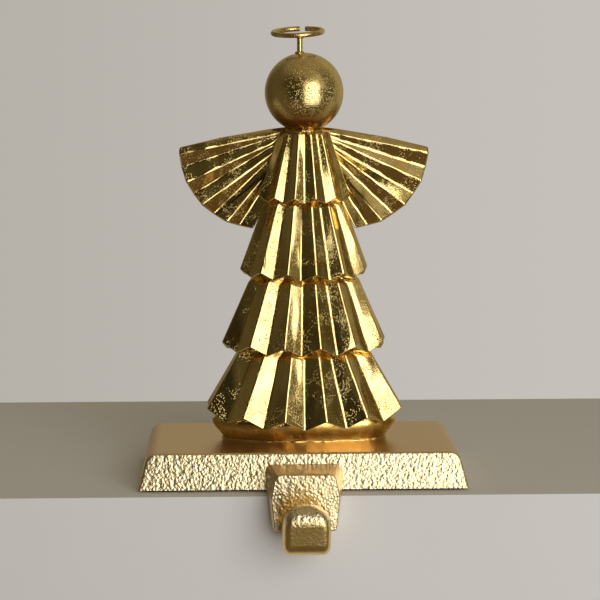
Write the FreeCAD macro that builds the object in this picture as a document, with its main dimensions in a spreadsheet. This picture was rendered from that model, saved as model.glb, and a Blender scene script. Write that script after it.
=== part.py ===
import FreeCAD, Part
import Sketcher
import bisect
import math
import os

# Mantel stocking holder: a cast iron base with a tab and J-hook over the mantel edge, and a
# cast angel with pleated skirt tiers and fan wings screwed to it from below.
# Millimetres, +Z up, +X to the right, front of the object towards -Y.
# The origin is on the mantel top under the middle of the base.

os.makedirs("parts", exist_ok=True)
doc = FreeCAD.newDocument("stocking_holder")
dims = doc.addObject("Spreadsheet::Sheet", "dims")

SIZES = {
    # iron base, a block with drafted sides and rounded shoulders
    "base_width": 131.0,
    "base_depth": 64.0,
    "base_height": 14.0,
    "base_side_draft": 3.8,
    "base_face_draft": 3.5,
    "base_shoulder_radius": 4.8,
    "base_rim_radius": 1.1,
    # sheet of rubber glued under the base
    "pad_thickness": 1.0,
    "pad_inset": 2.0,
    "pad_corner_radius": 3.0,
    # tab over the mantel edge
    "tab_reach": 15.0,
    "tab_thickness": 7.6,
    "tab_head_height": 9.7,
    "tab_head_width": 23.0,
    "tab_width": 27.0,
    "tab_toe_width": 24.3,
    "tab_drop": 13.0,
    "tab_flare": 4.4,
    "tab_corner_radius": 3.2,
    "tab_toe_radius": 1.2,
    "tab_edge_radius": 0.7,
    # J-hook that the tab turns into
    "hook_width": 18.4,
    "hook_throat": 7.5,
    "hook_throat_flat": 0.1,
    "hook_thickness": 9.5,
    "hook_drop": 18.8,
    "hook_floor": 6.8,
    "hook_tip_height": 1.2,
    "hook_lean": 4.0,
    "hook_back_radius": 1.6,
    "hook_bow_radius": 6.5,
    "hook_tip_radius": 6.0,
    "hook_dome_radius": 8.7,
    "hook_edge_radius": 3.0,
    # place of the figure on the base
    "figure_offset": 1.1,
    # four skirt tiers: half sizes over the ridges, and heights of the valleys, at hem and waist
    "pleat_count": 12,
    "pleat_share": 0.25,
    "hem_rise_share": 1.05,
    "valley_draw_share": 0.5,
    "first_waist_height": 124.9,
    "first_waist_width": 10.5,
    "first_hem_height": 97.2,
    "first_hem_width": 19.5,
    "first_hem_depth": 14.0,
    "first_hem_droop": 0.6,
    "second_waist_height": 95.0,
    "second_waist_width": 17.0,
    "second_hem_height": 67.2,
    "second_hem_width": 27.2,
    "second_hem_depth": 17.0,
    "second_hem_droop": 1.3,
    "second_pleat_shift": -0.13,
    "third_waist_height": 63.9,
    "third_waist_width": 23.3,
    "third_hem_height": 36.8,
    "third_hem_width": 35.3,
    "third_hem_depth": 19.7,
    "third_hem_droop": 1.0,
    "third_pleat_shift": -0.09,
    "fourth_waist_height": 34.1,
    "fourth_waist_width": 29.4,
    "fourth_hem_height": 11.0,
    "fourth_hem_width": 43.2,
    "fourth_hem_depth": 20.3,
    "fourth_hem_droop": 5.6,
    "waist_rise_share": 0.4,
    "waist_share": 0.84,
    "waist_bevel": 2.2,
    "hem_hollow": 3.0,
    # smooth foot under the lowest tier
    "foot_width": 33.0,
    "foot_depth": 9.6,
    "foot_swell_power": 1.8,
    "foot_bulge_width": 37.6,
    "foot_bulge_depth": 12.2,
    "foot_bulge_height": 7.8,
    "foot_root_width": 30.0,
    "foot_root_depth": 9.6,
    "foot_root_height": 15.0,
    # ball head on its neck
    "head_radius": 15.74,
    "head_rise": 15.75,
    "neck_radius": 6.2,
    # fan wings
    "wing_root_rise": 1.55,
    "wing_setback": 2.0,
    "wing_thickness": 3.0,
    "wing_pleat_depth": 3.0,
    "wing_pleat_count": 4,
    "wing_first_ray": 11.5,
    "wing_pleat_angle": 6.45,
    "wing_rim_radius": 32.0,
    "wing_rim_reach": 18.1,
    "wing_rim_fall": 8.6,
    "wing_edge_root": 1.2,
    "wing_edge_lift": 2.9,
    "wing_edge_bow": 1.3,
    # halo of round wire on a pin
    "halo_diameter": 21.9,
    "halo_wire": 2.1,
    "halo_wire_sides": 12,
    "halo_gap_angle": 13.0,
    "halo_gap_turn": 13.5,
    "halo_tilt": 6.4,
    "halo_roll": 2.6,
    "halo_rise": 6.9,
    "stem_diameter": 2.2,
    "stem_depth": 6.0,
    "stem_offset": 1.7,
    "halo_offset": -2.2,
    "stem_clearance": 0.05,
    "braze_gap": 0.02,
    # two screws from below
    "screw_spacing": 34.0,
    "screw_diameter": 5.0,
    "screw_length": 20.0,
    "screw_head_diameter": 8.6,
    "screw_head_height": 3.3,
    "screw_slot_width": 1.2,
    "screw_slot_depth": 1.4,
    "screw_head_sink": 6.0,
    "screw_play": 0.5,
    "sink_play": 1.2,
    "thread_clearance": 0.1,
    "bore_spare": 2.0,
}

# two points closer than this count as one
MATCH = 0.05
# steps round an oval when its arc is measured
ARC_STEPS = 3600
# straight bands from the foot's root to its bulge and on into the skirt
FOOT_BANDS = 5
# straight pieces in a wing's bowed top edge
WING_EDGE_STEPS = 3

for row, (alias, value) in enumerate(SIZES.items(), start=1):
    dims.set("A%d" % row, alias)
    dims.set("B%d" % row, str(value))
    dims.setAlias("B%d" % row, alias)
doc.recompute()


def size(expression):
    """The value of an expression of named sizes."""
    return float(dims.evalExpression(expression))


def origin_plane(body, role):
    """One of the body's own origin planes, by its role."""
    for feature in body.Origin.OriginFeatures:
        if feature.Role == role:
            return feature
    raise RuntimeError("no origin plane " + role)


def new_body(name):
    body = doc.addObject("PartDesign::Body", name)
    body.Label = name
    return body


def new_sketch(body, name, role, height="0"):
    """A sketch on an origin plane, moved along the plane's normal by a bound height."""
    sketch = body.newObject("Sketcher::SketchObject", name)
    sketch.AttachmentSupport = [(origin_plane(body, role), "")]
    sketch.MapMode = "FlatFace"
    sketch.setExpression("AttachmentOffset.Base.z", height)
    return sketch


def outline(sketch, corners):
    """A closed outline through corners, each a pair of expressions measured from the origin."""
    points = [FreeCAD.Vector(size(across), size(up), 0) for across, up in corners]
    count = len(points)
    for index in range(count):
        sketch.addGeometry(Part.LineSegment(points[index], points[(index + 1) % count]), False)
    for index in range(count):
        following = (index + 1) % count
        sketch.addConstraint(Sketcher.Constraint("Coincident", index, 2, following, 1))
    for index, (across, up) in enumerate(corners):
        for kind, text, value in (
            ("DistanceX", across, points[index].x),
            ("DistanceY", up, points[index].y),
        ):
            number = sketch.addConstraint(Sketcher.Constraint(kind, -1, 1, index, 1, value))
            sketch.setExpression("Constraints[%d]" % number, text)


def circle(sketch, across, up, radius):
    """A circle whose centre and radius are bound to expressions."""
    centre = FreeCAD.Vector(size(across), size(up), 0)
    normal = FreeCAD.Vector(0, 0, 1)
    index = sketch.addGeometry(Part.Circle(centre, normal, size(radius)), False)
    for kind, text, value in (("DistanceX", across, centre.x), ("DistanceY", up, centre.y)):
        number = sketch.addConstraint(Sketcher.Constraint(kind, -1, 1, index, 3, value))
        sketch.setExpression("Constraints[%d]" % number, text)
    number = sketch.addConstraint(Sketcher.Constraint("Radius", index, size(radius)))
    sketch.setExpression("Constraints[%d]" % number, radius)


def runs_along(edge, axis):
    """True for a straight edge along one axis: 0 is x, 1 is y, 2 is z."""
    if len(edge.Vertexes) < 2:
        return False
    span = edge.Vertexes[1].Point - edge.Vertexes[0].Point
    parts = [abs(span.x), abs(span.y), abs(span.z)]
    along = parts.pop(axis)
    return along > sum(parts)


def fillet(body, name, base, edges, radius):
    feature = body.newObject("PartDesign::Fillet", name)
    feature.Base = (base, edges)
    feature.setExpression("Radius", radius)
    doc.recompute()
    return feature


def near(value, target):
    """True for two values that are the same but for rounding."""
    return abs(value - target) < MATCH


# cast iron base
base = new_body("hook_base")

underside = "dims.pad_thickness"
base_top = "dims.pad_thickness + dims.base_height"
half_width = "dims.base_width / 2"
half_depth = "dims.base_depth / 2"
top_half_width = "dims.base_width / 2 - dims.base_side_draft"
top_half_depth = "dims.base_depth / 2 - dims.base_face_draft"

front_view = new_sketch(base, "base_front_view", "XZ_Plane")
outline(front_view, [
    ("-(%s)" % half_width, underside),
    (half_width, underside),
    (top_half_width, base_top),
    ("-(%s)" % top_half_width, base_top),
])
block = base.newObject("PartDesign::Pad", "base_block")
block.Profile = front_view
block.Midplane = True
block.setExpression("Length", "dims.base_depth")
doc.recompute()

shoulder = [
    "Edge%d" % number
    for number, edge in enumerate(block.Shape.Edges, start=1)
    if runs_along(edge, 1)
    and near(edge.Vertexes[0].Point.z, size(base_top))
]
shouldered = fillet(base, "base_shoulders", block, shoulder, "dims.base_shoulder_radius")

for side, sign in (("front", "-"), ("back", "")):
    wedge = new_sketch(base, "base_%s_draft" % side, "YZ_Plane")
    outline(wedge, [
        ("%s(%s)" % (sign, half_depth), underside),
        ("%s(%s)" % (sign, top_half_depth), base_top),
        ("%s(%s)" % (sign, half_depth), base_top),
    ])
    slope = base.newObject("PartDesign::Pocket", "base_%s_slope" % side)
    slope.Profile = wedge
    slope.Midplane = True
    slope.setExpression("Length", "dims.base_width * 2")
    doc.recompute()

rim = []
for number, edge in enumerate(slope.Shape.Edges, start=1):
    ends = [vertex.Point for vertex in edge.Vertexes]
    level = all(near(point.z, size(underside)) for point in ends)
    lengthwise = runs_along(edge, 1)
    if not level and not lengthwise:
        rim.append("Edge%d" % number)
rimmed = fillet(base, "base_rims", slope, rim, "dims.base_rim_radius")

# tab: a lofted boss from the base's front, its sides flaring backwards
tab_front = "dims.base_depth / 2 + dims.tab_reach"
tab_back = "dims.base_depth / 2 + dims.tab_reach - dims.tab_thickness"
tab_root = "dims.base_depth / 2 - dims.tab_flare"
tab_top = "dims.pad_thickness + dims.tab_head_height"
tab_toe = "dims.pad_thickness - dims.tab_drop"


def tab_outline(sketch, spread, level):
    """Six corners of the tab seen from the front, spread sideways for the flare."""
    head = "(dims.%s / 2 + %s)" % (level, spread)
    waist = "(dims.tab_width / 2 + %s / 2)" % spread
    toe = "(dims.tab_toe_width / 2 + %s / 2)" % spread
    outline(sketch, [
        ("-" + head, tab_top),
        ("-" + waist, underside),
        ("-" + toe, tab_toe),
        (toe, tab_toe),
        (waist, underside),
        (head, tab_top),
    ])


root_outline = new_sketch(base, "tab_root_outline", "XZ_Plane", tab_root)
tab_outline(root_outline, "dims.tab_flare", "tab_head_width")
face_outline = new_sketch(base, "tab_face_outline", "XZ_Plane", tab_front)
tab_outline(face_outline, "0", "tab_head_width")
tab = base.newObject("PartDesign::AdditiveLoft", "tab_boss")
tab.Profile = root_outline
tab.Sections = [face_outline]
tab.Ruled = True
doc.recompute()


def tab_corners(feature, height):
    """The tab's two edges at one height that run from its root to its face."""
    found = []
    for number, edge in enumerate(feature.Shape.Edges, start=1):
        ends = [vertex.Point for vertex in edge.Vertexes]
        outside = all(point.y < size("dims.tab_flare") - size(half_depth) for point in ends)
        level = all(near(point.z, size(height)) for point in ends)
        if runs_along(edge, 1) and outside and level and edge.Length > size("dims.tab_thickness"):
            found.append("Edge%d" % number)
    return found


top_rounds = tab_corners(tab, tab_top)
topped = fillet(base, "tab_top_corners", tab, top_rounds, "dims.tab_corner_radius")
toe_rounds = tab_corners(topped, tab_toe)
cornered = fillet(base, "tab_toe_corners", topped, toe_rounds, "dims.tab_toe_radius")
tab_face = [
    "Edge%d" % number
    for number, edge in enumerate(cornered.Shape.Edges, start=1)
    if all(near(vertex.Point.y, -size(tab_front)) for vertex in edge.Vertexes)
]
faced = fillet(base, "tab_face_edge", cornered, tab_face, "dims.tab_edge_radius")

# the mantel's corner is cut out behind the tab and under the base
corner = new_sketch(base, "mantel_corner", "YZ_Plane")
outline(corner, [
    ("-(%s)" % tab_back, "-dims.base_width"),
    ("dims.base_depth", "-dims.base_width"),
    ("dims.base_depth", underside),
    ("-(%s)" % tab_back, underside),
])
notch = base.newObject("PartDesign::Pocket", "mantel_notch")
notch.Profile = corner
notch.Midplane = True
notch.setExpression("Length", "dims.base_width")
doc.recompute()

# J-hook: a band that leaves the foot of the tab, turns forward and comes up as a blunt finger
hook_back = "dims.base_depth / 2 + dims.tab_reach + dims.hook_throat"
hook_front = "dims.base_depth / 2 + dims.tab_reach + dims.hook_throat + dims.hook_thickness"
hook_bottom = "dims.pad_thickness - dims.hook_drop"
hook_floor = "dims.pad_thickness - dims.hook_drop + dims.hook_floor"
hook_tip = "dims.pad_thickness + dims.hook_tip_height"
hook_root = "dims.pad_thickness - dims.tab_drop + dims.hook_floor"
tip_back_place = hook_back + " + dims.hook_lean"
tip_front_place = hook_front + " + dims.hook_lean"

profile = new_sketch(base, "hook_profile", "YZ_Plane")
outline(profile, [
    ("-(%s)" % tab_back, hook_root),
    ("-(%s)" % tab_front, hook_root),
    ("-(%s)" % tab_front, hook_floor),
    ("-(%s)" % hook_back, hook_floor),
    ("-(%s)" % tip_back_place, hook_tip),
    ("-(%s)" % tip_front_place, hook_tip),
    ("-(%s)" % hook_front, hook_bottom),
    ("-(%s)" % tab_back, hook_bottom),
])
hook = base.newObject("PartDesign::Pad", "hook_band")
hook.Profile = profile
hook.Midplane = True
hook.setExpression("Length", "dims.hook_width")
doc.recompute()


def cross_edges(feature, depth, height):
    """Edges along X that pass through a given depth and height."""
    back, up = -size(depth), size(height)
    return [
        "Edge%d" % number
        for number, edge in enumerate(feature.Shape.Edges, start=1)
        if runs_along(edge, 0)
        and all(near(end.Point.y, back) and near(end.Point.z, up) for end in edge.Vertexes)
    ]


bow = fillet(
    base,
    "hook_bow",
    hook,
    cross_edges(hook, tab_back, hook_bottom) + cross_edges(hook, hook_front, hook_bottom),
    "dims.hook_bow_radius",
)
throat = fillet(
    base,
    "hook_throat_round",
    bow,
    cross_edges(bow, tab_front, hook_floor) + cross_edges(bow, hook_back, hook_floor),
    "(dims.hook_throat - dims.hook_throat_flat) / 2",
)
tip = fillet(
    base,
    "hook_tip_front",
    throat,
    cross_edges(throat, tip_front_place, hook_tip),
    "dims.hook_tip_radius",
)
tip_back = fillet(
    base,
    "hook_tip_back",
    tip,
    cross_edges(tip, tip_back_place, hook_tip),
    "dims.hook_back_radius",
)


def dome_corner(sketch, sign):
    """The waste outside one rounded upper corner of the finger, seen from the front."""
    edge_x = "%sdims.hook_width / 2" % sign
    core_x = "%s(dims.hook_width / 2 - dims.hook_dome_radius)" % sign
    waste_x = "%sdims.hook_width" % sign
    core_z = hook_tip + " - dims.hook_dome_radius"
    waste_z = hook_tip + " + dims.hook_width"
    corners = [
        (edge_x, core_z),
        (waste_x, core_z),
        (waste_x, waste_z),
        (core_x, waste_z),
        (core_x, hook_tip),
    ]
    points = [FreeCAD.Vector(size(across), size(up), 0) for across, up in corners]
    first = sketch.GeometryCount
    for start, end in zip(points, points[1:]):
        sketch.addGeometry(Part.LineSegment(start, end), False)
    centre = FreeCAD.Vector(size(core_x), size(core_z), 0)
    ring = Part.Circle(centre, FreeCAD.Vector(0, 0, 1), size("dims.hook_dome_radius"))
    start, end = (math.pi / 2, math.pi) if sign else (0.0, math.pi / 2)
    arc = sketch.addGeometry(Part.ArcOfCircle(ring, start, end), False)
    for index in range(first, arc - 1):
        sketch.addConstraint(Sketcher.Constraint("Coincident", index, 2, index + 1, 1))
    at_edge, at_top = (2, 1) if sign else (1, 2)
    sketch.addConstraint(Sketcher.Constraint("Coincident", arc, at_edge, first, 1))
    sketch.addConstraint(Sketcher.Constraint("Coincident", arc, at_top, arc - 1, 2))
    bound = [(first + step, 1, corner) for step, corner in enumerate(corners[:-1])]
    bound.append((arc - 1, 2, corners[-1]))
    for index, end_point, (across, up) in bound:
        for kind, text in (("DistanceX", across), ("DistanceY", up)):
            rule = Sketcher.Constraint(kind, -1, 1, index, end_point, size(text))
            sketch.setExpression("Constraints[%d]" % sketch.addConstraint(rule), text)
    rule = Sketcher.Constraint("DistanceX", -1, 1, arc, 3, size(core_x))
    sketch.setExpression("Constraints[%d]" % sketch.addConstraint(rule), core_x)


dome_start = tip_front_place + " + dims.tab_edge_radius"
dome_waste = new_sketch(base, "hook_dome_waste", "XZ_Plane", dome_start)
dome_corner(dome_waste, "")
dome_corner(dome_waste, "-")
dome = base.newObject("PartDesign::Pocket", "hook_dome")
dome.Profile = dome_waste
dome.setExpression("Length", "dims.hook_lean + dims.hook_thickness + dims.hook_throat / 2")
doc.recompute()


def on_finger_front(point):
    """Whether a point lies on the finger's leaning front face."""
    rise = (point.z - size(hook_bottom)) / (size(hook_tip) - size(hook_bottom))
    return near(point.y, -size(hook_front) - rise * size("dims.hook_lean"))


finger = []
for number, edge in enumerate(dome.Shape.Edges, start=1):
    in_front = any(on_finger_front(vertex.Point) for vertex in edge.Vertexes)
    straight = edge.Curve.TypeId == "Part::GeomLine"
    lengthwise = straight and runs_along(edge, 1)
    if in_front and not lengthwise and not runs_along(edge, 0):
        finger.append("Edge%d" % number)
fingered = fillet(base, "hook_edges", dome, finger, "dims.hook_edge_radius")

# screw holes from below: a clearance bore and a sinking for the head
screw_places = {
    "left": "dims.figure_offset - dims.screw_spacing / 2",
    "right": "dims.figure_offset + dims.screw_spacing / 2",
}
for name, radius, deep in (
    ("screw_bores", "dims.screw_diameter / 2 + dims.screw_play / 2", "dims.base_height"),
    ("screw_sinkings", "(dims.screw_head_diameter + dims.sink_play) / 2", "dims.screw_head_sink"),
):
    rings = new_sketch(base, name + "_outline", "XY_Plane", underside)
    for place in screw_places.values():
        circle(rings, place, "0", radius)
    bores = base.newObject("PartDesign::Pocket", name)
    bores.Profile = rings
    bores.Reversed = True
    bores.setExpression("Length", deep)
    doc.recompute()
base.Tip = bores


def bind_place(thing, across, along, up):
    """Ties an object's place to expressions."""
    for axis, text in (("x", across), ("y", along), ("z", up)):
        thing.setExpression("Placement.Base." + axis, text)


# a thin non-slip sheet under the base covers the screws and stands on the mantel
pad = new_body("rest_pad")
sheet = new_sketch(pad, "rest_pad_outline", "XY_Plane")
pad_x = "(dims.base_width / 2 - dims.pad_inset)"
pad_y = "(dims.base_depth / 2 - dims.pad_inset)"
outline(sheet, [("-" + pad_x, "-" + pad_y), (pad_x, "-" + pad_y), (pad_x, pad_y), ("-" + pad_x, pad_y)])
slab = pad.newObject("PartDesign::Pad", "rest_pad_sheet")
slab.Profile = sheet
slab.setExpression("Length", "dims.pad_thickness")
doc.recompute()
upright = [
    "Edge%d" % number
    for number, edge in enumerate(slab.Shape.Edges, start=1)
    if runs_along(edge, 2)
]
fillet(pad, "rest_pad_corners", slab, upright, "dims.pad_corner_radius")

# screws from below, their heads sunk into the base and their shanks up in the casting
screw_seat = "dims.pad_thickness + dims.screw_head_sink"
screws = []
for side_name, place in screw_places.items():
    screw = new_body("figure_screw_" + side_name)
    half = new_sketch(screw, screw.Name + "_profile", "XZ_Plane")
    shank = "dims.screw_diameter / 2"
    point = "dims.screw_diameter / 2 - dims.screw_play"
    outline(half, [
        ("0", "-dims.screw_head_height"),
        ("dims.screw_head_diameter / 2", "-dims.screw_head_height"),
        ("dims.screw_head_diameter / 2", "0"),
        (shank, "0"),
        (shank, "dims.screw_length - dims.screw_play"),
        (point, "dims.screw_length"),
        ("0", "dims.screw_length"),
    ])
    turned = screw.newObject("PartDesign::Revolution", screw.Name + "_turned")
    turned.Profile = half
    turned.ReferenceAxis = (half, ["V_Axis"])
    turned.Angle = 360
    doc.recompute()
    slot_outline = new_sketch(
        screw, screw.Name + "_slot_outline", "XY_Plane", "-dims.screw_head_height"
    )
    slot_half = "dims.screw_slot_width / 2"
    outline(slot_outline, [
        ("-dims.screw_head_diameter", "-" + slot_half),
        ("dims.screw_head_diameter", "-" + slot_half),
        ("dims.screw_head_diameter", slot_half),
        ("-dims.screw_head_diameter", slot_half),
    ])
    slot = screw.newObject("PartDesign::Pocket", screw.Name + "_slot")
    slot.Profile = slot_outline
    slot.Reversed = True
    slot.setExpression("Length", "dims.screw_slot_depth")
    bind_place(screw, place, "0", screw_seat)
    doc.recompute()
    screws.append(screw)

# Heights in the sheet count from the base's top. Every tier is a star-shaped pyramid stump: its
# ridge and valley lines all meet in one point on the axis, so each pleat face is flat. As in a
# folded fan, the outer ridges end higher than the valleys between them.
vector = FreeCAD.Vector
foot_plane = size(base_top)
pleats = int(size("dims.pleat_count"))
pleat_share = size("dims.pleat_share")
hem_rise = size("dims.hem_rise_share")
draw_share = size("dims.valley_draw_share")


def face(points):
    return Part.Face(Part.makePolygon(points + [points[0]]))


def closed_solid(faces):
    solid = Part.Solid(Part.makeShell(faces))
    if solid.Volume < 0:
        solid.reverse()
    return solid


def even_angles(wide, deep, count, shift):
    """Angles that step round an oval in equal lengths of arc, shifted from its front."""
    turn = 2 * math.pi / ARC_STEPS
    lengths = [0.0]
    for step in range(ARC_STEPS):
        angle = turn * (step + 1 / 2)
        stretch = math.hypot(wide * math.cos(angle), deep * math.sin(angle))
        lengths.append(lengths[-1] + stretch * turn)
    angles = []
    for index in range(count):
        target = lengths[-1] * ((index + shift) % count) / count
        place = bisect.bisect_left(lengths, target)
        angles.append(turn * place)
    return angles, lengths[-1]


def tier(name, above="", shift=0.0):
    """One pleated skirt tier, from its zigzag hem up into the hollow of the tier above."""
    waist_height = foot_plane + size("dims.%s_waist_height" % name)
    waist_width = size("dims.%s_waist_width" % name)
    hem_height = foot_plane + size("dims.%s_hem_height" % name)
    hem_width = size("dims.%s_hem_width" % name)
    hem_depth = size("dims.%s_hem_depth" % name)
    droop = size("dims.%s_hem_droop" % name)
    hollow = size("dims.hem_hollow")
    taper = (hem_width - waist_width) / (waist_height - hem_height)
    apex = hem_height + hem_width / taper
    angles, girth = even_angles(hem_width, hem_depth, 2 * pleats, 2 * shift)
    pleat = girth / pleats * pleat_share
    rise = pleat * hem_rise
    tip = vector(0, 0, apex)
    hem = []
    for step, angle in enumerate(angles):
        ridge = step % 2
        across, along = hem_width * math.sin(angle), -hem_depth * math.cos(angle)
        # a valley lies inwards of the oval, turned towards the way the mould is drawn
        lean = hem_depth * math.sin(angle) * (1 - draw_share)
        inward = vector(-lean, hem_width * math.cos(angle), 0).normalize()
        height = hem_height + ridge * rise - droop * abs(math.cos(angle))
        hem.append(vector(across, along, height) + inward * pleat * (1 - ridge))

    def cut(climb):
        # the fold lines cut off at the waist, the ridges higher by a climb
        levels = [waist_height + (step % 2) * climb for step in range(2 * pleats)]
        return [
            tip + (spot - tip) * ((apex - level) / (apex - spot.z))
            for spot, level in zip(hem, levels)
        ]

    rings = [hem]
    if above:
        # the top edge zigzags too, is bevelled inwards and goes up into the tier above
        waist = cut(rise * size("dims.waist_rise_share"))
        share = size("dims.waist_share")
        bevel_tip = vector(0, 0, waist_height + size("dims.waist_bevel") / (1 - share))
        shoulder = [bevel_tip + (spot - bevel_tip) * share for spot in waist]
        cap_height = foot_plane + size("dims.%s_hem_height" % above) + hollow + rise
        rings += [waist, shoulder, [vector(spot.x, spot.y, cap_height) for spot in shoulder]]
    else:
        rings.append(cut(0))
    middle = vector(0, 0, hem_height + hollow)
    faces = [face(rings[-1])]
    for step in range(2 * pleats):
        following = (step + 1) % (2 * pleats)
        for lower, upper in zip(rings, rings[1:]):
            faces.append(face([upper[step], upper[following], lower[following], lower[step]]))
        faces.append(face([rings[0][step], rings[0][following], middle]))
    return closed_solid(faces)


def oval(wide, deep, height):
    """A flat oval wire at a height above the base's top."""
    curve = Part.Ellipse(vector(0, 0, foot_plane + height), wide, deep)
    return Part.Wire([curve.toShape()])


def foot_solid():
    """The smooth foot: narrow on the base, swelling to the lowest hem, closed inside the skirt."""
    wide, deep = size("dims.foot_width"), size("dims.foot_depth")
    bulge_wide, bulge_deep = size("dims.foot_bulge_width"), size("dims.foot_bulge_depth")
    bulge_height = size("dims.foot_bulge_height")
    wires = []
    for step in range(FOOT_BANDS + 1):
        # a hollow curve that leaves the base steeply and rounds over at the bulge
        share = step / FOOT_BANDS
        swell = math.sin(math.pi / 2 * share) ** size("dims.foot_swell_power")
        wires.append(oval(
            wide + (bulge_wide - wide) * swell,
            deep + (bulge_deep - deep) * swell,
            bulge_height * share,
        ))
    wires.append(oval(
        size("dims.foot_root_width"),
        size("dims.foot_root_depth"),
        size("dims.foot_root_height"),
    ))
    return Part.makeLoft(wires, True, True)


def wing(sign):
    """A fan-pleated wing: flat folds that all start at the neck, between two parallel faces."""
    root_height = foot_plane + size("dims.first_waist_height + dims.wing_root_rise")
    root = vector(0, size("dims.wing_setback"), root_height)
    half_thick = size("dims.wing_thickness") / 2
    half_pleat = size("dims.wing_pleat_depth") / 2
    first, turn = size("dims.wing_first_ray"), size("dims.wing_pleat_angle")
    reach, fall = size("dims.wing_rim_reach"), size("dims.wing_rim_fall")
    radius = size("dims.wing_rim_radius")
    edge_root, lift = size("dims.wing_edge_root"), size("dims.wing_edge_lift")
    bow = size("dims.wing_edge_bow")
    rays = 2 * int(size("dims.wing_pleat_count")) + 1

    def rim_point(degrees):
        # where a ray from the neck meets the round rim
        slope = math.radians(degrees)
        out, down = math.cos(slope), math.sin(slope)
        along = reach * out + fall * down
        off = reach * reach + fall * fall - radius * radius
        length = along + math.sqrt(along * along - off)
        return length * out, -length * down

    front, back = [], []
    for step in range(rays):
        across, up = rim_point(first + step * turn)
        fold = half_pleat if step % 2 else -half_pleat
        point = vector(sign * across, fold, up)
        front.append(root + point - vector(0, half_thick, 0))
        back.append(root + point + vector(0, half_thick, 0))
    root_front = root - vector(0, half_thick, 0)
    root_back = root + vector(0, half_thick, 0)
    tip_across, tip_up = rim_point(first)
    top = []
    for step in range(WING_EDGE_STEPS + 1):
        share = step / WING_EDGE_STEPS
        rise = edge_root + (lift - edge_root) * share + bow * math.sin(math.pi * share)
        across = sign * tip_across * share
        top.append(root + vector(across, -half_pleat * share, rise + tip_up * share))
    faces = []
    for step in range(rays - 1):
        faces.append(face([root_front, front[step], front[step + 1]]))
        faces.append(face([root_back, back[step], back[step + 1]]))
        faces.append(face([front[step], front[step + 1], back[step + 1], back[step]]))
    for start, end in zip(top, top[1:]):
        faces.append(face([root_front, start, end]))
        faces.append(face([root_back, start, end]))
    faces.append(face([root_front, top[-1], front[0]]))
    faces.append(face([root_back, top[-1], back[0]]))
    faces.append(face([top[-1], front[0], back[0]]))
    faces.append(face([root_front, root_back, top[0]]))
    faces.append(face([root_front, root_back, back[-1], front[-1]]))
    return closed_solid(faces)


pieces = {
    "first tier": tier("first"),
    "second tier": tier("second", "first", size("dims.second_pleat_shift")),
    "third tier": tier("third", "second", size("dims.third_pleat_shift")),
    "fourth tier": tier("fourth", "third"),
    "foot": foot_solid(),
    "left wing": wing(-1),
    "right wing": wing(1),
}

core = doc.addObject("Part::Feature", "skirt_and_wings")
tiers = list(pieces.values())
core.Shape = tiers[0].multiFuse(tiers[1:]).removeSplitter()
core.Placement.Base = vector(size("dims.figure_offset"), 0, 0)

head = doc.addObject("Part::Sphere", "head_ball")
head.setExpression("Radius", "dims.head_radius")
head_centre = base_top + " + dims.first_waist_height + dims.head_rise"
bind_place(head, "dims.figure_offset", "0", head_centre)

neck = doc.addObject("Part::Cylinder", "neck_post")
neck.setExpression("Radius", "dims.neck_radius")
neck.setExpression("Height", "dims.head_rise + dims.hem_hollow")
neck_foot = base_top + " + dims.first_waist_height - dims.hem_hollow"
bind_place(neck, "dims.figure_offset", "0", neck_foot)
doc.recompute()

body_cast = doc.addObject("Part::MultiFuse", "angel_cast")
body_cast.Shapes = [core, head, neck]
body_cast.Refine = True

bores = []
bore_height = "dims.screw_length - dims.base_height + dims.screw_head_sink + dims.bore_spare"
for side_name, place in screw_places.items():
    bore = doc.addObject("Part::Cylinder", "thread_bore_" + side_name)
    bore.setExpression("Radius", "dims.screw_diameter / 2 + dims.thread_clearance / 2")
    bore.setExpression("Height", bore_height)
    bind_place(bore, place, "0", base_top)
    bores.append(bore)

stem_place = "dims.figure_offset - dims.stem_offset"
head_top = head_centre + " + dims.head_radius"
stem_foot = head_top + " - dims.stem_depth"
socket = doc.addObject("Part::Cylinder", "stem_socket")
socket.setExpression("Radius", "dims.stem_diameter / 2 + dims.stem_clearance")
socket.setExpression("Height", "dims.stem_depth * 2")
bind_place(socket, stem_place, "0", stem_foot)
bores.append(socket)
doc.recompute()

drilling = doc.addObject("Part::MultiFuse", "angel_bores")
drilling.Shapes = bores
doc.recompute()

angel = doc.addObject("Part::Cut", "angel_figure")
angel.Base = body_cast
angel.Tool = drilling
angel.Label = "angel_figure"
doc.recompute()

# The pin stands in the head; the ring's front lies on the pin's top and its gap is at the back.
# The wire's round section is drawn with short sides that stay within 0.04 mm of round.
wire_radius = "dims.halo_wire / 2"
ring_radius = "dims.halo_diameter / 2 - dims.halo_wire / 2"
ring_height = head_top + " + dims.halo_rise"
tilt = FreeCAD.Rotation(vector(1, 0, 0), size("dims.halo_tilt"))
roll = FreeCAD.Rotation(vector(0, 1, 0), -size("dims.halo_roll"))
turn = FreeCAD.Rotation(vector(0, 0, 1), -size("dims.halo_gap_turn"))
ring_attitude = tilt.multiply(roll).multiply(turn)

# the pin passes through the ring's centre line
beside = -size("dims.stem_offset") - size("dims.halo_offset")
pin_point = vector(size(stem_place), 0, size(ring_height))
flat = tilt.multiply(roll)
local_pin = vector(beside, -math.sqrt(size(ring_radius) ** 2 - beside ** 2), 0)
ring_centre = pin_point - flat.multVec(local_pin)

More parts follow.
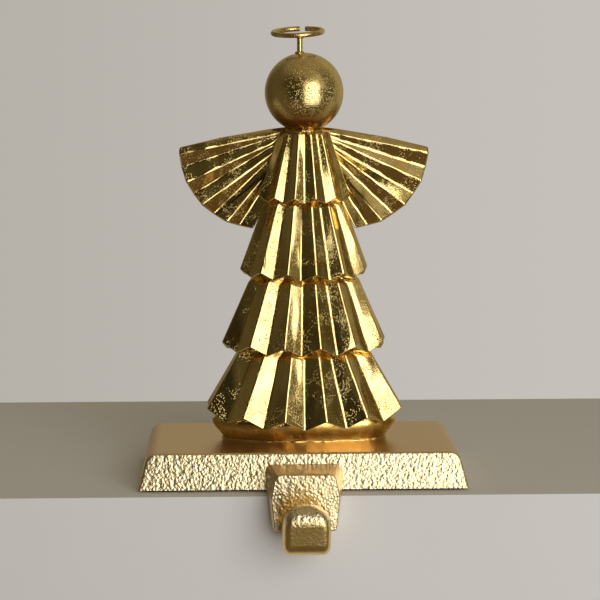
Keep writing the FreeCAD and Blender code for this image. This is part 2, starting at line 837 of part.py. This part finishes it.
halo = new_body("halo_ring")
wire = new_sketch(halo, "halo_wire_section", "YZ_Plane")
sides = int(size("dims.halo_wire_sides"))
outline(wire, [
    (
        "-(%s) + %s * cos(360deg * %d / dims.halo_wire_sides)" % (ring_radius, wire_radius, side),
        "%s * sin(360deg * %d / dims.halo_wire_sides)" % (wire_radius, side),
    )
    for side in range(sides)
])
bent = halo.newObject("PartDesign::Revolution", "halo_bend")
bent.Profile = wire
bent.ReferenceAxis = (wire, ["V_Axis"])
bent.Midplane = True
bent.setExpression("Angle", "360 - dims.halo_gap_angle")
halo.Placement = FreeCAD.Placement(ring_centre, ring_attitude)
doc.recompute()

rod = doc.addObject("Part::Cylinder", "stem_rod")
rod.setExpression("Radius", "dims.stem_diameter / 2")
rod.setExpression("Height", "dims.stem_depth + dims.halo_rise")
bind_place(rod, stem_place, "0", stem_foot)
saddle = doc.addObject("Part::Torus", "stem_saddle")
saddle.setExpression("Radius1", ring_radius)
saddle.setExpression("Radius2", wire_radius + " + dims.braze_gap")
saddle.Placement = FreeCAD.Placement(ring_centre, ring_attitude)
doc.recompute()
stem = doc.addObject("Part::Cut", "halo_stem")
stem.Base = rod
stem.Tool = saddle
stem.Label = "halo_stem"
doc.recompute()

# every object must be sound before anything is written
for item in doc.Objects:
    if "Invalid" in item.State or "Error" in item.State:
        raise RuntimeError("failed: " + item.Name)

nodes = [base, pad, angel, halo, stem] + screws
for node in nodes:
    shape = node.Shape
    if shape.isNull() or not shape.isValid() or len(shape.Solids) != 1:
        raise RuntimeError("unsound: %s with %d solids" % (node.Label, len(shape.Solids)))
for node in nodes:
    node.Shape.exportStep("parts/%s.step" % node.Label)
    print("%-24s %10.1f mm3" % (node.Label, node.Shape.Volume))
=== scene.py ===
import math

import bmesh
import bpy
from mathutils import Matrix, Vector


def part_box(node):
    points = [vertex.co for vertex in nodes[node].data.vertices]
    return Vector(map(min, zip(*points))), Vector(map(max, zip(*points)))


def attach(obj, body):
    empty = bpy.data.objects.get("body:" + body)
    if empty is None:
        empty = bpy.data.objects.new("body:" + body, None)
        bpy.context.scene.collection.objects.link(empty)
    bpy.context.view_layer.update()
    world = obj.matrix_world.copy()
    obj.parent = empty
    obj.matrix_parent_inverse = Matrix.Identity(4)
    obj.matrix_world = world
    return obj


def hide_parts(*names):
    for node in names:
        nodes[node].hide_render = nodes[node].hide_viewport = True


# A gilded mantel stocking holder: a sand-cast iron base with a tab and J-hook, and a cast angel
# with a wire halo. Metres, +Z up, front towards -Y.

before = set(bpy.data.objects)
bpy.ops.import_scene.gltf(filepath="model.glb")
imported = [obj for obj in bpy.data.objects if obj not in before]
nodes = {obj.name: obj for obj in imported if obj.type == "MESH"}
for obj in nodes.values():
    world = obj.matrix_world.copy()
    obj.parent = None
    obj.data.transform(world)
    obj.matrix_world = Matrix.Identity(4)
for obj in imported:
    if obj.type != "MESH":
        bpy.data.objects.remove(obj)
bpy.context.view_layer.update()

MILLIMETRE = 0.001


def mm(length):
    """A length given in millimetres, in the scene's metres."""
    return length * MILLIMETRE


figure_low, figure_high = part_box("angel_figure")
pin_low, pin_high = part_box("halo_stem")
FIGURE_X = (figure_low.x + figure_high.x) / 2
BASE_TOP = figure_low.z
FOOT_TOP = mm(17.5)
NECK_TOP = mm(141)
SHOULDER = mm(147)
HEAD_TOP = figure_high.z
PIN_X = (pin_low.x + pin_high.x) / 2
PIN_TOP = pin_high.z

# Building blocks of the finishes. A span is a pair of values, where it starts and where it ends.

RISING = (0.0, 1.0)
FALLING = (1.0, 0.0)


def new_material(name):
    """A material with an empty tree but for its shader, and object coordinates to start from."""
    material = bpy.data.materials.new(name)
    material.use_nodes = True
    tree = material.node_tree
    surface = tree.nodes["Principled BSDF"]
    place = tree.nodes.new("ShaderNodeTexCoord").outputs["Object"]
    return material, tree, surface, place


def grain(tree, place, across, detail=4.0, roughness=0.6):
    """Soft noise whose lumps measure about a length across."""
    noise = tree.nodes.new("ShaderNodeTexNoise")
    noise.inputs["Scale"].default_value = 1 / across
    noise.inputs["Detail"].default_value = detail
    noise.inputs["Roughness"].default_value = roughness
    tree.links.new(place, noise.inputs["Vector"])
    return noise.outputs["Fac"]


def cells(tree, place, across):
    """Distance to scattered points that stand about a length apart."""
    voronoi = tree.nodes.new("ShaderNodeTexVoronoi")
    voronoi.inputs["Scale"].default_value = 1 / across
    tree.links.new(place, voronoi.inputs["Vector"])
    return voronoi.outputs["Distance"]


def along(tree, vector, axis):
    """One coordinate of a place or a direction."""
    parts = tree.nodes.new("ShaderNodeSeparateXYZ")
    tree.links.new(vector, parts.inputs[0])
    return parts.outputs[axis]


def looking_up(tree):
    """How far the surface faces upwards, from -1 to 1."""
    return along(tree, tree.nodes.new("ShaderNodeNewGeometry").outputs["Normal"], "Z")


def spread(tree, value, span, onto=RISING):
    """Stretches one span of a value onto another, softly at both ends."""
    ranged = tree.nodes.new("ShaderNodeMapRange")
    ranged.interpolation_type = "SMOOTHSTEP"
    ranged.inputs["From Min"].default_value, ranged.inputs["From Max"].default_value = span
    ranged.inputs["To Min"].default_value, ranged.inputs["To Max"].default_value = onto
    tree.links.new(value, ranged.inputs["Value"])
    return ranged.outputs["Result"]


def combine(tree, kind, first, second):
    """Arithmetic on two values, either of which may be a plain number."""
    sum_node = tree.nodes.new("ShaderNodeMath")
    sum_node.operation = kind
    for socket, value in zip(sum_node.inputs, (first, second)):
        if isinstance(value, (int, float)):
            socket.default_value = value
        else:
            tree.links.new(value, socket)
    return sum_node.outputs["Value"]


def blend_colours(tree, share, first, second):
    """Goes from one colour to another as a share goes from 0 to 1."""
    mix = tree.nodes.new("ShaderNodeMix")
    mix.data_type = "RGBA"
    tree.links.new(share, mix.inputs["Factor"])
    for socket, colour in ((mix.inputs["A"], first), (mix.inputs["B"], second)):
        if isinstance(colour, tuple):
            socket.default_value = (*colour, 1.0)
        else:
            tree.links.new(colour, socket)
    return mix.outputs["Result"]


def relief(tree, surface, height, depth, strength=1.0, before=None):
    """Bump of a real depth on the shader, on top of an earlier bump."""
    bump = tree.nodes.new("ShaderNodeBump")
    bump.inputs["Distance"].default_value = depth
    if isinstance(strength, float):
        bump.inputs["Strength"].default_value = strength
    else:
        tree.links.new(strength, bump.inputs["Strength"])
    tree.links.new(height, bump.inputs["Height"])
    if before is not None:
        tree.links.new(before, bump.inputs["Normal"])
    tree.links.new(bump.outputs["Normal"], surface.inputs["Normal"])
    return bump.outputs["Normal"]


# Gold leaf: whole and bright; paler, partly a painted highlight; satin; in painted shade; in a
# painted dark reflection; and broken.
LEAF = (0.87, 0.68, 0.29)
LEAF_DEEP = (0.80, 0.58, 0.20)
PALE_LEAF_AND_PAINTED_HIGHLIGHT = (0.90, 0.75, 0.45)
SATIN_LEAF = (0.88, 0.65, 0.37)
PAINTED_SHADE_LEAF = (0.52, 0.32, 0.09)
PAINTED_REFLECTION_LEAF = (0.38, 0.17, 0.04)
BROKEN_LEAF = (0.16, 0.10, 0.04)

TONE_CLOUDS = mm(9)
TONE_SPAN = (0.35, 0.7)
# The edge of the painted shade: its lumps, how far it wanders and how soft it is.
PAINTED_SHADE_LUMPS = mm(2.5)
PAINTED_SHADE_WANDER = mm(8)
PAINTED_SHADE_BLUR = mm(3)
DOWNWARD = (-0.75, -0.3)
HEAD_SPAN = (NECK_TOP, NECK_TOP + mm(2))


def leaf_colour(tree, place, on_head, painted_shade_below):
    """Whole leaf: cloudy, with painted shade below a height and a painted dark reflection on the
    underside of the head.
    """
    tone = spread(tree, grain(tree, place, TONE_CLOUDS, detail=3.0), TONE_SPAN)
    leaf = blend_colours(tree, tone, LEAF, LEAF_DEEP)
    uneven = combine(tree, "MULTIPLY", grain(tree, place, PAINTED_SHADE_LUMPS, detail=3.0), PAINTED_SHADE_WANDER)
    level = combine(tree, "ADD", along(tree, place, "Z"), uneven)
    # Painted shade: below the given height the leaf turns darker, standing in for the shade under
    # the lowest hem.
    painted_shade_edge = (painted_shade_below - PAINTED_SHADE_BLUR, painted_shade_below + PAINTED_SHADE_BLUR)
    leaf = blend_colours(tree, spread(tree, level, painted_shade_edge, FALLING), leaf, PAINTED_SHADE_LEAF)
    # Painted dark reflection: faces that look down on the head and halo turn brown, standing in
    # for a dark reflection and shade under the head.
    underside = spread(tree, looking_up(tree), DOWNWARD, FALLING)
    painted_reflection_under_head = combine(tree, "MULTIPLY", underside, on_head)
    return blend_colours(tree, painted_reflection_under_head, leaf, PAINTED_REFLECTION_LEAF)


PIT_SPACING = mm(0.62)
PIT_SPAN = (0.10, 0.42)
PIT_LUMPS = mm(0.5)
PIT_RAGGEDNESS = 0.5
PATCH_LUMPS = mm(8)
PATCH_SPAN = (0.42, 0.60)
PATCH_PITTING = (0.10, 0.75)
HEAD_PITTING = 0.85


def leaf_pits(tree, place, on_head):
    """Fine pits, lowest in their middles, and the patches that they gather in."""
    dots = spread(tree, cells(tree, place, PIT_SPACING), PIT_SPAN)
    ragged = combine(tree, "MULTIPLY", grain(tree, place, PIT_LUMPS, detail=2.0), PIT_RAGGEDNESS)
    pits = combine(tree, "ADD", dots, ragged)
    patches = spread(tree, grain(tree, place, PATCH_LUMPS, detail=2.0), PATCH_SPAN, PATCH_PITTING)
    pitted_head = combine(tree, "MULTIPLY", on_head, HEAD_PITTING)
    return pits, combine(tree, "MAXIMUM", patches, pitted_head)


BROKEN_SPAN = (0.45, 0.25)
DULL_SPAN = (0.3, 1.3)
PIT_DULLNESS = 0.12
HEAD_DULLNESS = 0.055
SWELL_LUMPS = mm(9)
DRAWN_OUT = (1.0, 1.0, 0.3)


def gold_leaf(name, polish, pit_depth, swell_depth, painted_shade_below=0.0):
    """Leaf laid over a polished casting: bright, softly swelling and broken in fine pits, with
    painted shade low down and a painted dark reflection under the head.
    """
    material, tree, surface, place = new_material(name)
    surface.inputs["Metallic"].default_value = 1.0
    on_head = spread(tree, along(tree, place, "Z"), HEAD_SPAN)
    leaf = leaf_colour(tree, place, on_head, painted_shade_below)
    pits, patches = leaf_pits(tree, place, on_head)
    broken = combine(tree, "MULTIPLY", spread(tree, pits, BROKEN_SPAN), patches)
    tree.links.new(blend_colours(tree, broken, leaf, BROKEN_LEAF), surface.inputs["Base Color"])

    dull = spread(tree, pits, DULL_SPAN, (polish + PIT_DULLNESS, polish))
    soft = combine(tree, "ADD", dull, combine(tree, "MULTIPLY", on_head, HEAD_DULLNESS))
    tree.links.new(soft, surface.inputs["Roughness"])

    upright = tree.nodes.new("ShaderNodeVectorMath")
    upright.operation = "MULTIPLY"
    upright.inputs[1].default_value = DRAWN_OUT
    tree.links.new(place, upright.inputs[0])
    swell = grain(tree, upright.outputs["Vector"], SWELL_LUMPS, detail=1.0)
    off_head = combine(tree, "SUBTRACT", 1.0, on_head)
    swells = relief(tree, surface, swell, swell_depth, off_head)
    relief(tree, surface, pits, pit_depth, patches, swells)
    return material


LEVEL_SPAN = (0.35, 0.75)
ABOVE_HOOK = (mm(6), mm(9))
FINGER_LUMPS = mm(3)
FINGER_WANDER = mm(5)
FINGER_TOP = (mm(-3.5), mm(1.5))
FINGER_FRONT = (mm(-50), mm(-47.5))


def smooth_skin(tree, place):
    """Where the base is smooth: its level top, and that together with the finger's front."""
    height = along(tree, place, "Z")
    above_hook = spread(tree, height, ABOVE_HOOK)
    level = combine(tree, "MULTIPLY", spread(tree, looking_up(tree), LEVEL_SPAN), above_hook)
    lumps = grain(tree, place, FINGER_LUMPS, detail=2.0)
    ragged = combine(tree, "ADD", height, combine(tree, "MULTIPLY", lumps, FINGER_WANDER))
    in_front = spread(tree, along(tree, place, "Y"), FINGER_FRONT, FALLING)
    finger = combine(tree, "MULTIPLY", spread(tree, ragged, FINGER_TOP, FALLING), in_front)
    return level, combine(tree, "MAXIMUM", level, finger)


BASE_SATIN = 0.3
BASE_CLOUDS = mm(14)
GRIT_ACROSS = mm(0.9)
GRIT_DEPTH = mm(0.1)
SPECK_SPAN = (0.64, 0.74)
SAND_SPACING = mm(1.2)
SAND_LUMPS = mm(2.0)
SAND_DEPTH = mm(0.34)
HOLLOWS = -0.5


def cast_gold(name):
    """The gilded base: satin on top, coarse as a sand casting on the upright faces, whose paler
    leaf is partly a painted highlight.
    """
    material, tree, surface, place = new_material(name)
    surface.inputs["Metallic"].default_value = 1.0
    surface.inputs["Roughness"].default_value = BASE_SATIN
    level, smooth = smooth_skin(tree, place)
    coarse = combine(tree, "SUBTRACT", 1.0, smooth)

    tone = spread(tree, grain(tree, place, BASE_CLOUDS, detail=3.0), TONE_SPAN)
    leaf = blend_colours(tree, tone, LEAF, LEAF_DEEP)
    # The coarse faces take a paler leaf: partly their own colour, partly a painted highlight.
    leaf = blend_colours(tree, coarse, leaf, PALE_LEAF_AND_PAINTED_HIGHLIGHT)
    leaf = blend_colours(tree, level, leaf, SATIN_LEAF)
    grit = grain(tree, place, GRIT_ACROSS, detail=2.0)
    specks = combine(tree, "MULTIPLY", spread(tree, grit, SPECK_SPAN), coarse)
    tree.links.new(blend_colours(tree, specks, leaf, BROKEN_LEAF), surface.inputs["Base Color"])

    hollows = combine(tree, "MULTIPLY", cells(tree, place, SAND_SPACING), HOLLOWS)
    lumps = grain(tree, place, SAND_LUMPS, detail=2.0, roughness=0.5)
    hills = combine(tree, "MULTIPLY", combine(tree, "ADD", hollows, lumps), coarse)
    sand = relief(tree, surface, hills, SAND_DEPTH)
    relief(tree, surface, grit, GRIT_DEPTH, before=sand)
    return material


CLOUD_SPAN = (0.3, 0.7)
ZINC = ((0.50, 0.51, 0.53), (0.68, 0.69, 0.70))
RUBBER = ((0.020, 0.019, 0.018), (0.045, 0.042, 0.040))


def clouded_finish(name, across, colours, roughness):
    """An even finish that goes softly between two colours and between two roughnesses."""
    material, tree, surface, place = new_material(name)
    cloud = grain(tree, place, across, detail=3.0)
    tree.links.new(blend_colours(tree, cloud, *colours), surface.inputs["Base Color"])
    tree.links.new(spread(tree, cloud, CLOUD_SPAN, roughness), surface.inputs["Roughness"])
    return material, tree, surface, place


def zinc_steel():
    """Bright zinc on the hidden screws."""
    zinc, tree, surface, place = clouded_finish(
        "zinc_plated_steel", across=mm(2), colours=ZINC, roughness=(0.28, 0.42)
    )
    surface.inputs["Metallic"].default_value = 1.0
    relief(tree, surface, grain(tree, place, across=mm(0.5)), depth=mm(0.02), strength=0.4)
    return zinc


def pad_rubber():
    """Matt black rubber with a fine even grain."""
    rubber, tree, surface, place = clouded_finish(
        "pad_rubber", across=mm(5), colours=RUBBER, roughness=(0.72, 0.9)
    )
    relief(tree, surface, cells(tree, place, across=mm(0.7)), depth=mm(0.05), strength=0.6)
    return rubber


STAGE_CLOUDS = mm(60)
STAGE_DARKER = 0.96
STAGE_MATT = 0.75


def plain_stage(name, colour):
    """A pale even finish for what the object stands on."""
    material, tree, surface, place = new_material(name)
    cloud = grain(tree, place, STAGE_CLOUDS, detail=2.0)
    darker = tuple(part * STAGE_DARKER for part in colour)
    tree.links.new(blend_colours(tree, cloud, colour, darker), surface.inputs["Base Color"])
    surface.inputs["Roughness"].default_value = STAGE_MATT
    return material


# The figure's leaf carries painted shade below 23 mm.
angel_gold = gold_leaf(
    "angel_gold_leaf", polish=0.11, pit_depth=mm(0.12), swell_depth=mm(1.0), painted_shade_below=mm(23)
)
wire_gold = gold_leaf("wire_gold_leaf", polish=0.16, pit_depth=mm(0.05), swell_depth=mm(0.1))
base_gold = cast_gold("base_gold_leaf")
zinc = zinc_steel()

for node, material in (
    ("hook_base", base_gold),
    ("halo_stem", wire_gold),
    ("figure_screw_left", zinc),
    ("figure_screw_right", zinc),
    ("rest_pad", pad_rubber()),
):
    for slot in nodes[node].material_slots:
        slot.material = material


# The figure is the CAD's casting with its ridges and rims rounded.
SAME_POINT = mm(0.002)
FLAT_ANGLE = math.radians(0.5)
SHARP_ANGLE = math.radians(20)
SHORT_EDGE = mm(2.6)
RIDGE_ROUND = mm(0.75)
ROUND_SEGMENTS = 3


def piece_from(name, shape, material):
    """Turns a finished bmesh into a smooth-shaded object that rides on the part."""
    mesh = bpy.data.meshes.new(name)
    shape.normal_update()
    shape.to_mesh(mesh)
    shape.free()
    mesh.materials.append(material)
    for polygon in mesh.polygons:
        polygon.use_smooth = True
    piece = bpy.data.objects.new(name, mesh)
    bpy.context.scene.collection.objects.link(piece)
    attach(piece, "root")
    return piece


def softened_copy(name, node, material, low, high):
    """A CAD node with its planes cleaned up and the edges between two heights rounded."""
    shape = bmesh.new()
    shape.from_mesh(nodes[node].data)
    bmesh.ops.remove_doubles(shape, verts=shape.verts, dist=SAME_POINT)
    flat_verts = [vertex for vertex in shape.verts if vertex.co.z < high]
    flat_edges = [edge for edge in shape.edges if max(end.co.z for end in edge.verts) < high]
    bmesh.ops.dissolve_limit(shape, angle_limit=FLAT_ANGLE, verts=flat_verts, edges=flat_edges)
    weight = shape.edges.layers.float.new("bevel_weight_edge")
    for edge in shape.edges:
        heights = [end.co.z for end in edge.verts]
        sharp = edge.calc_face_angle(0.0) > SHARP_ANGLE
        long_enough = edge.calc_length() > SHORT_EDGE
        rounded = sharp and long_enough and min(heights) > low and max(heights) < high
        edge[weight] = 1.0 if rounded else 0.0
        edge.smooth = rounded or not sharp
    piece = piece_from(name, shape, material)
    bevel = piece.modifiers.new("rounded_edges", "BEVEL")
    bevel.width = RIDGE_ROUND
    bevel.segments = ROUND_SEGMENTS
    bevel.limit_method = "WEIGHT"
    bevel.use_clamp_overlap = False
    bevel.harden_normals = True
    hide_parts(node)


softened_copy("angel_casting", "angel_figure", angel_gold, FOOT_TOP, SHOULDER)

# The halo is an open ring of round wire, tilted back, that lies on the pin.
WIRE_RADIUS = mm(1.03)
WIRE_SIDES = 20
CUT_ROUND = mm(0.3)
CUT_ANGLE = math.radians(60)
HALO_RADIUS = mm(9.9)
HALO_STEPS = 120
HALO_GAP = math.radians(13)
HALO_GAP_TURN = math.radians(-13.5)
HALO_TILT = math.radians(6.4)
HALO_ROLL = math.radians(-2.6)
PIN_ASIDE = mm(0.5)


def halo_frame():
    """Where the ring's centre is and how it leans."""
    leaning = Matrix.Rotation(HALO_TILT, 4, "X") @ Matrix.Rotation(HALO_ROLL, 4, "Y")
    ahead = math.sqrt(HALO_RADIUS**2 - PIN_ASIDE**2)
    pin_top = Vector((PIN_X, 0.0, PIN_TOP))
    centre = pin_top - leaning.to_3x3() @ Vector((PIN_ASIDE, -ahead, 0.0))
    return Matrix.Translation(centre) @ leaning @ Matrix.Rotation(HALO_GAP_TURN, 4, "Z")


def halo_ring(material):
    """One bend of round wire from one cut end to the other, with the cuts' edges rounded."""
    shape = bmesh.new()
    section = Matrix.Translation((0.0, HALO_RADIUS, 0.0)) @ Matrix.Rotation(math.pi / 2, 4, "Y")
    bmesh.ops.create_circle(
        shape,
        cap_ends=True,
        cap_tris=False,
        segments=WIRE_SIDES,
        radius=WIRE_RADIUS,
        matrix=Matrix.Rotation(HALO_GAP / 2, 4, "Z") @ section,
    )
    bmesh.ops.spin(
        shape,
        geom=list(shape.faces) + list(shape.verts) + list(shape.edges),
        cent=(0.0, 0.0, 0.0),
        axis=(0.0, 0.0, 1.0),
        angle=2 * math.pi - HALO_GAP,
        steps=HALO_STEPS,
        use_merge=False,
        use_duplicate=False,
    )
    bmesh.ops.recalc_face_normals(shape, faces=shape.faces)
    bmesh.ops.bevel(
        shape,
        geom=[edge for edge in shape.edges if edge.calc_face_angle(0.0) > CUT_ANGLE],
        offset=CUT_ROUND,
        offset_type="OFFSET",
        affect="EDGES",
        segments=ROUND_SEGMENTS,
        profile=0.5,
        material=-1,
        clamp_overlap=True,
    )
    bmesh.ops.transform(shape, matrix=halo_frame(), verts=shape.verts)
    ring = piece_from("halo_wire", shape, material)
    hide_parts("halo_ring")


halo_ring(wire_gold)

# Where the parts are joined, the metal is lumpy under its leaf.
BEAD_LUMPS = mm(1.3)
BEAD_STEPS = 48
BEAD_ROUND_STEPS = 3
QUARTER_HANDLE = 0.5523
SOLDER_LUMPS = mm(0.9)
SOLDER_UNEVEN = mm(0.5)
SOLDER_FINENESS = 4


def roughen(piece, depth, across):
    """Pushes a surface in and out by soft noise whose lumps measure about a length across."""
    lumps = bpy.data.textures.new(piece.name + "_lumps", "CLOUDS")
    lumps.noise_scale = across
    lumps.noise_depth = 1
    push = piece.modifiers.new("lumps", "DISPLACE")
    push.texture = lumps
    push.texture_coords = "LOCAL"
    push.mid_level = 0.5
    push.strength = depth


def oval_bead(name, centre, half_width, half_depth, thickness, uneven):
    """A thin rough bead of metal that runs round the figure on an oval."""
    path = bpy.data.curves.new(name + "_path", "CURVE")
    path.dimensions = "3D"
    path.bevel_depth = thickness / 2
    path.bevel_resolution = BEAD_ROUND_STEPS
    path.resolution_u = BEAD_STEPS
    line = path.splines.new("BEZIER")
    line.bezier_points.add(3)
    line.use_cyclic_u = True
    for quarter, point in enumerate(line.bezier_points):
        turn = quarter * math.pi / 2
        out = Vector((half_width * math.cos(turn), half_depth * math.sin(turn), 0.0))
        onward = Vector((-half_width * math.sin(turn), half_depth * math.cos(turn), 0.0))
        point.co = centre + out
        point.handle_left = centre + out - onward * QUARTER_HANDLE
        point.handle_right = centre + out + onward * QUARTER_HANDLE
    shape = bmesh.new()
    holder = bpy.data.objects.new(name + "_path", path)
    shape.from_mesh(bpy.data.meshes.new_from_object(holder))
    bpy.data.objects.remove(holder)
    bead = piece_from(name, shape, wire_gold)
    roughen(bead, uneven, BEAD_LUMPS)


def solder_lump(name, centre, radii):
    """A small smeared drop of metal round a joint of the halo's pin."""
    shape = bmesh.new()
    place = Matrix.Translation(centre) @ Matrix.Diagonal((*radii, 1.0))
    bmesh.ops.create_icosphere(shape, subdivisions=SOLDER_FINENESS, radius=1.0, matrix=place)
    drop = piece_from(name, shape, wire_gold)
    roughen(drop, SOLDER_UNEVEN, SOLDER_LUMPS)


oval_bead(
    "neck_bead",
    centre=Vector((FIGURE_X, 0.0, NECK_TOP - mm(0.5))),
    half_width=mm(6.6),
    half_depth=mm(6.6),
    thickness=mm(1.5),
    uneven=mm(1.3),
)
oval_bead(
    "foot_seam",
    centre=Vector((FIGURE_X, 0.0, BASE_TOP + mm(0.15))),
    half_width=mm(33.1),
    half_depth=mm(9.7),
    thickness=mm(0.9),
    uneven=mm(0.8),
)
solder_lump(
    "pin_foot_solder",
    centre=Vector((PIN_X, 0.0, HEAD_TOP - mm(0.19))),
    radii=(mm(1.9), mm(1.9), mm(1.0)),
)
solder_lump(
    "pin_head_solder",
    centre=Vector((PIN_X, 0.0, PIN_TOP - mm(0.79))),
    radii=(mm(1.6), mm(1.2), mm(0.8)),
)

# The stage is a plain shelf, because the tab and the hook hang below the resting plane.
SHELF_COLOUR = (0.92, 0.91, 0.90)
SHELF_FRONT = -0.0386
SHELF_BACK = 0.145
SHELF_HALF_LENGTH = 0.6
SHELF_THICKNESS = 0.25


def stage_block(name, low, high, material):
    """A plain box between two corners that is part of the stage."""
    shape = bmesh.new()
    bmesh.ops.create_cube(shape, size=1.0)
    size = high - low
    place = Matrix.Translation((high + low) / 2) @ Matrix.Diagonal((*size, 1.0))
    bmesh.ops.transform(shape, matrix=place, verts=shape.verts)
    mesh = bpy.data.meshes.new(name)
    shape.to_mesh(mesh)
    shape.free()
    mesh.materials.append(material)
    thing = bpy.data.objects.new(name, mesh)
    bpy.context.scene.collection.objects.link(thing)


stage_block(
    "shelf",
    low=Vector((-SHELF_HALF_LENGTH, SHELF_FRONT, -SHELF_THICKNESS)),
    high=Vector((SHELF_HALF_LENGTH, SHELF_BACK, 0.0)),
    material=plain_stage("pale_shelf", SHELF_COLOUR),
)

# One large soft lamp stands in front, to the right.
LAMP_PLACE = Vector((0.51, -1.20, 0.15))
LAMP_AIM = Vector((0.0, 0.0, 0.1))
LAMP_WIDTH = 0.95
LAMP_HEIGHT = 1.5
LAMP_RADIANCE = 2.4

lamp = bpy.data.lights.new("soft_lamp", "AREA")
lamp.shape = "RECTANGLE"
lamp.size = LAMP_WIDTH
lamp.size_y = LAMP_HEIGHT
lamp.energy = LAMP_RADIANCE * math.pi * LAMP_WIDTH * LAMP_HEIGHT
lamp_head = bpy.data.objects.new("soft_lamp", lamp)
lamp_head.location = LAMP_PLACE
lamp_head.rotation_euler = (LAMP_AIM - LAMP_PLACE).to_track_quat("-Z", "Y").to_euler()
bpy.context.scene.collection.objects.link(lamp_head)

# Brightness of the room by bearing: 0 degrees is in front, positive to the right.
LOW_WALLS = (
    (-135, 0.07),
    (-90, 0.10),
    (-57, 0.09),
    (-40, 0.025),
    (0, 0.025),
    (42, 0.10),
    (57, 0.20),
    (68, 0.06),
    (95, 0.13),
    (126, 0.42),
    (150, 0.36),
)
HIGH_WALLS = (
    (-135, 0.08),
    (-90, 0.10),
    (-60, 0.05),
    (-42, 0.05),
    (-5, 0.08),
    (20, 0.30),
    (50, 0.42),
    (60, 0.42),
    (70, 0.10),
    (98, 0.14),
    (128, 0.42),
    (150, 0.36),
)
BEHIND = 0.33

# The share of green and of blue in a grey of the room, when it is black and when it is white.
GREEN_SHARE = (0.82, 0.98)
BLUE_SHARE = (0.44, 0.94)

# Where the high walls, the ceiling and the floor begin, by the upward part of a direction.
HIGH_WALL_SPAN = (0.14, 0.32)
CEILING_SPAN = (0.6, 0.95)
CEILING = (0.26, 0.22, 0.16)
FLOOR_SPAN = (-0.15, -0.45)
FLOOR = (0.11, 0.075, 0.04)

# The pale wall that the camera sees, from left to right.
WALL_SPAN = (-0.15, 0.2)
WALL_LEFT = (0.47, 0.44, 0.40)
WALL_RIGHT = (0.56, 0.53, 0.49)


def warm_grey(grey):
    """A grey that turns from brown when dim to neutral when bright."""
    green, blue = (dim + (bright - dim) * grey for dim, bright in (GREEN_SHARE, BLUE_SHARE))
    return (grey, grey * green, grey * blue, 1.0)


def walls(tree, around, lit_by_bearing):
    """The room's brightness round the object; what is dimmer is also warmer."""
    ramp = tree.nodes.new("ShaderNodeValToRGB")
    tree.links.new(around, ramp.inputs["Fac"])
    stops = ramp.color_ramp.elements
    for end in (stops[0], stops[-1]):
        end.color = warm_grey(BEHIND)
    for degrees, grey in lit_by_bearing:
        stops.new((degrees + 180) / 360).color = warm_grey(grey)
    return ramp.outputs["Color"]


def room():
    """A pale wall behind the object, a lit side room to the right and a dim one to the left."""
    world = bpy.data.worlds.new("room")
    world.use_nodes = True
    tree = world.node_tree
    toward = tree.nodes.new("ShaderNodeTexCoord").outputs["Generated"]
    sideways = along(tree, toward, "X")
    upward = along(tree, toward, "Z")
    ahead = combine(tree, "MULTIPLY", along(tree, toward, "Y"), -1.0)
    bearing = combine(tree, "ARCTAN2", sideways, ahead)
    around = spread(tree, bearing, (-math.pi, math.pi))
    around.node.interpolation_type = "LINEAR"

    low_walls = walls(tree, around, LOW_WALLS)
    high_walls = walls(tree, around, HIGH_WALLS)
    lit = blend_colours(tree, spread(tree, upward, HIGH_WALL_SPAN), low_walls, high_walls)
    lit = blend_colours(tree, spread(tree, upward, CEILING_SPAN), lit, CEILING)
    lit = blend_colours(tree, spread(tree, upward, FLOOR_SPAN), lit, FLOOR)

    wall = blend_colours(tree, spread(tree, sideways, WALL_SPAN), WALL_LEFT, WALL_RIGHT)
    camera_ray = tree.nodes.new("ShaderNodeLightPath").outputs["Is Camera Ray"]
    seen = blend_colours(tree, camera_ray, lit, wall)
    tree.links.new(seen, tree.nodes["Background"].inputs["Color"])
    bpy.context.scene.world = world


room()

# The camera stands in front, a little to the left and above the figure's head.
CAMERA_PLACE = (-0.026616, -0.7785, 0.192323)
CAMERA_DOWN = math.radians(8.796)
CAMERA_TURN = math.radians(-1.919)
SENSOR_WIDTH = 36.0
FOCAL_LENGTH = 116.55

lens = bpy.data.cameras.new("photo_camera")
lens.sensor_width = SENSOR_WIDTH
lens.lens = FOCAL_LENGTH
camera = bpy.data.objects.new("photo_camera", lens)
camera.location = CAMERA_PLACE
camera.rotation_euler = (math.pi / 2 - CAMERA_DOWN, 0.0, CAMERA_TURN)
bpy.context.scene.collection.objects.link(camera)
bpy.context.scene.camera = camera

bpy.context.scene.view_settings.view_transform = "Standard"
